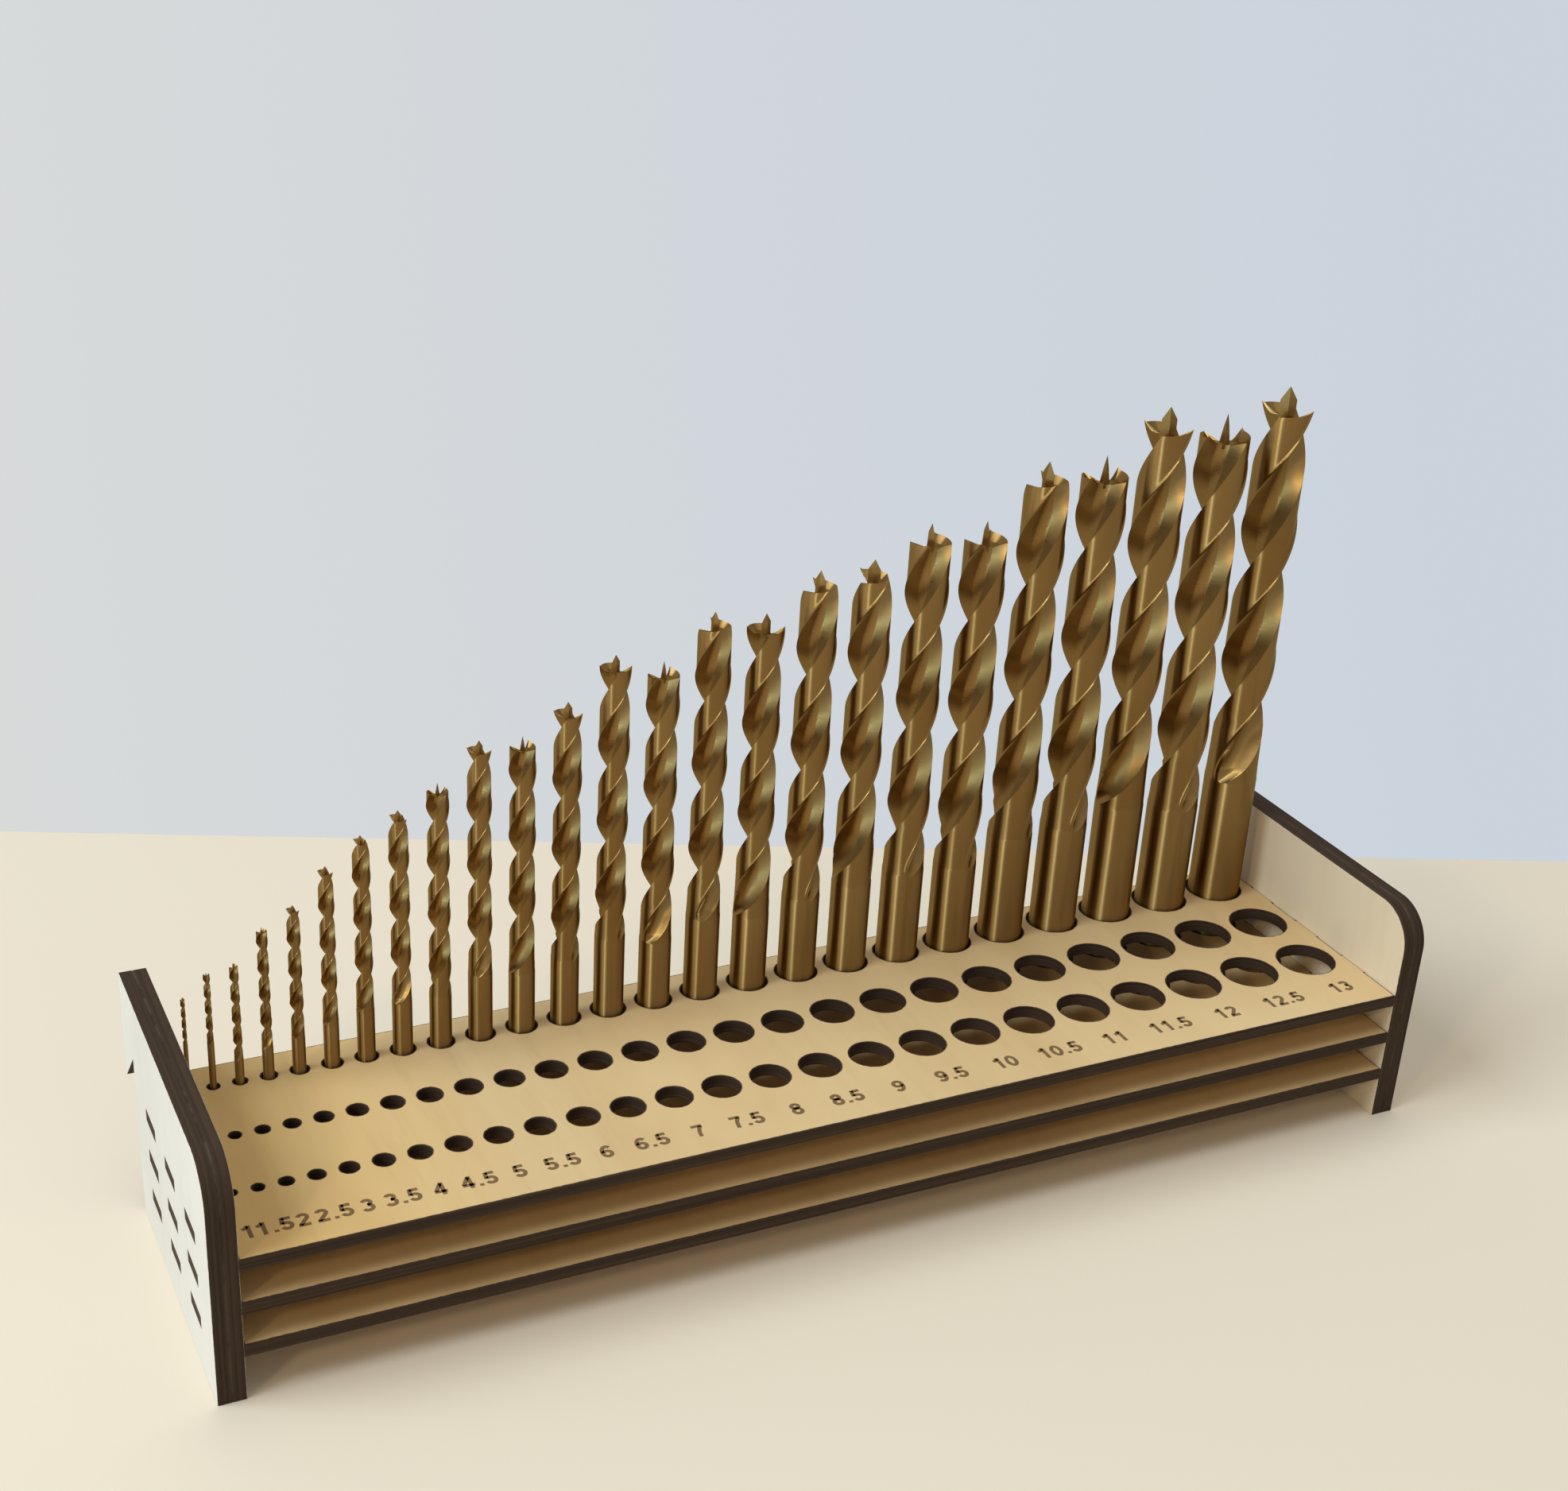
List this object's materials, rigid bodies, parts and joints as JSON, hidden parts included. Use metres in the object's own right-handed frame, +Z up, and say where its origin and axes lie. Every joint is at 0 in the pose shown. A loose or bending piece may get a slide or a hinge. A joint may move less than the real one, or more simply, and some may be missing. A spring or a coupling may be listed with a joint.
{
  "type": "drill bit rack",
  "caption": "Plywood rack that holds a graded set of brad point drills upright in rows of round holes, with side hooks for a sloping wall rail.",
  "frame": {"origin": "centre of the part's footprint, on the surface that it stands on", "axes": "+X along the rack from the smallest drill to the largest, +Y from the front edge to the wall side, +Z up"},
  "size_m": [0.2922, 0.079, 0.1681],
  "materials": {
    "plywood": "bare sanded birch plywood, with edges burnt brown by the laser that cut it",
    "drill_steel": "satin, heat-tinted straw to bronze"
  },
  "bodies": {
    "rack": {"bottom_plate": "plywood", "middle_plate": "plywood", "top_plate": "plywood", "left_outer_panel": "plywood", "left_inner_panel": "plywood", "right_inner_panel": "plywood", "right_outer_panel": "plywood"},
    "drill_01_0": {"drill_01_0": "drill_steel"},
    "drill_01_5": {"drill_01_5": "drill_steel"},
    "drill_02_0": {"drill_02_0": "drill_steel"},
    "drill_02_5": {"drill_02_5": "drill_steel"},
    "drill_03_0": {"drill_03_0": "drill_steel"},
    "drill_03_5": {"drill_03_5": "drill_steel"},
    "drill_04_0": {"drill_04_0": "drill_steel"},
    "drill_04_5": {"drill_04_5": "drill_steel"},
    "drill_05_0": {"drill_05_0": "drill_steel"},
    "drill_05_5": {"drill_05_5": "drill_steel"},
    "drill_06_0": {"drill_06_0": "drill_steel"},
    "drill_06_5": {"drill_06_5": "drill_steel"},
    "drill_07_0": {"drill_07_0": "drill_steel"},
    "drill_07_5": {"drill_07_5": "drill_steel"},
    "drill_08_0": {"drill_08_0": "drill_steel"},
    "drill_08_5": {"drill_08_5": "drill_steel"},
    "drill_09_0": {"drill_09_0": "drill_steel"},
    "drill_09_5": {"drill_09_5": "drill_steel"},
    "drill_10_0": {"drill_10_0": "drill_steel"},
    "drill_10_5": {"drill_10_5": "drill_steel"},
    "drill_11_0": {"drill_11_0": "drill_steel"},
    "drill_11_5": {"drill_11_5": "drill_steel"},
    "drill_12_0": {"drill_12_0": "drill_steel"},
    "drill_12_5": {"drill_12_5": "drill_steel"},
    "drill_13_0": {"drill_13_0": "drill_steel"}
  },
  "joints": [
    {"name": "lift_01_0", "type": "slide", "parent": "rack", "child": "drill_01_0", "axis": [0, 0, 1], "range_m": [0, 0.015]},
    {"name": "lift_01_5", "type": "slide", "parent": "rack", "child": "drill_01_5", "axis": [0, 0, 1], "range_m": [0, 0.015]},
    {"name": "lift_02_0", "type": "slide", "parent": "rack", "child": "drill_02_0", "axis": [0, 0, 1], "range_m": [0, 0.025]},
    {"name": "lift_02_5", "type": "slide", "parent": "rack", "child": "drill_02_5", "axis": [0, 0, 1], "range_m": [0, 0.025]},
    {"name": "lift_03_0", "type": "slide", "parent": "rack", "child": "drill_03_0", "axis": [0, 0, 1], "range_m": [0, 0.025]},
    {"name": "lift_03_5", "type": "slide", "parent": "rack", "child": "drill_03_5", "axis": [0, 0, 1], "range_m": [0, 0.025]},
    {"name": "lift_04_0", "type": "slide", "parent": "rack", "child": "drill_04_0", "axis": [0, 0, 1], "range_m": [0, 0.025]},
    {"name": "lift_04_5", "type": "slide", "parent": "rack", "child": "drill_04_5", "axis": [0, 0, 1], "range_m": [0, 0.025]},
    {"name": "lift_05_0", "type": "slide", "parent": "rack", "child": "drill_05_0", "axis": [0, 0, 1], "range_m": [0, 0.025]},
    {"name": "lift_05_5", "type": "slide", "parent": "rack", "child": "drill_05_5", "axis": [0, 0, 1], "range_m": [0, 0.025]},
    {"name": "lift_06_0", "type": "slide", "parent": "rack", "child": "drill_06_0", "axis": [0, 0, 1], "range_m": [0, 0.025]},
    {"name": "lift_06_5", "type": "slide", "parent": "rack", "child": "drill_06_5", "axis": [0, 0, 1], "range_m": [0, 0.025]},
    {"name": "lift_07_0", "type": "slide", "parent": "rack", "child": "drill_07_0", "axis": [0, 0, 1], "range_m": [0, 0.025]},
    {"name": "lift_07_5", "type": "slide", "parent": "rack", "child": "drill_07_5", "axis": [0, 0, 1], "range_m": [0, 0.025]},
    {"name": "lift_08_0", "type": "slide", "parent": "rack", "child": "drill_08_0", "axis": [0, 0, 1], "range_m": [0, 0.025]},
    {"name": "lift_08_5", "type": "slide", "parent": "rack", "child": "drill_08_5", "axis": [0, 0, 1], "range_m": [0, 0.025]},
    {"name": "lift_09_0", "type": "slide", "parent": "rack", "child": "drill_09_0", "axis": [0, 0, 1], "range_m": [0, 0.025]},
    {"name": "lift_09_5", "type": "slide", "parent": "rack", "child": "drill_09_5", "axis": [0, 0, 1], "range_m": [0, 0.025]},
    {"name": "lift_10_0", "type": "slide", "parent": "rack", "child": "drill_10_0", "axis": [0, 0, 1], "range_m": [0, 0.025]},
    {"name": "lift_10_5", "type": "slide", "parent": "rack", "child": "drill_10_5", "axis": [0, 0, 1], "range_m": [0, 0.025]},
    {"name": "lift_11_0", "type": "slide", "parent": "rack", "child": "drill_11_0", "axis": [0, 0, 1], "range_m": [0, 0.025]},
    {"name": "lift_11_5", "type": "slide", "parent": "rack", "child": "drill_11_5", "axis": [0, 0, 1], "range_m": [0, 0.025]},
    {"name": "lift_12_0", "type": "slide", "parent": "rack", "child": "drill_12_0", "axis": [0, 0, 1], "range_m": [0, 0.025]},
    {"name": "lift_12_5", "type": "slide", "parent": "rack", "child": "drill_12_5", "axis": [0, 0, 1], "range_m": [0, 0.025]},
    {"name": "lift_13_0", "type": "slide", "parent": "rack", "child": "drill_13_0", "axis": [0, 0, 1], "range_m": [0, 0.025]}
  ]
}
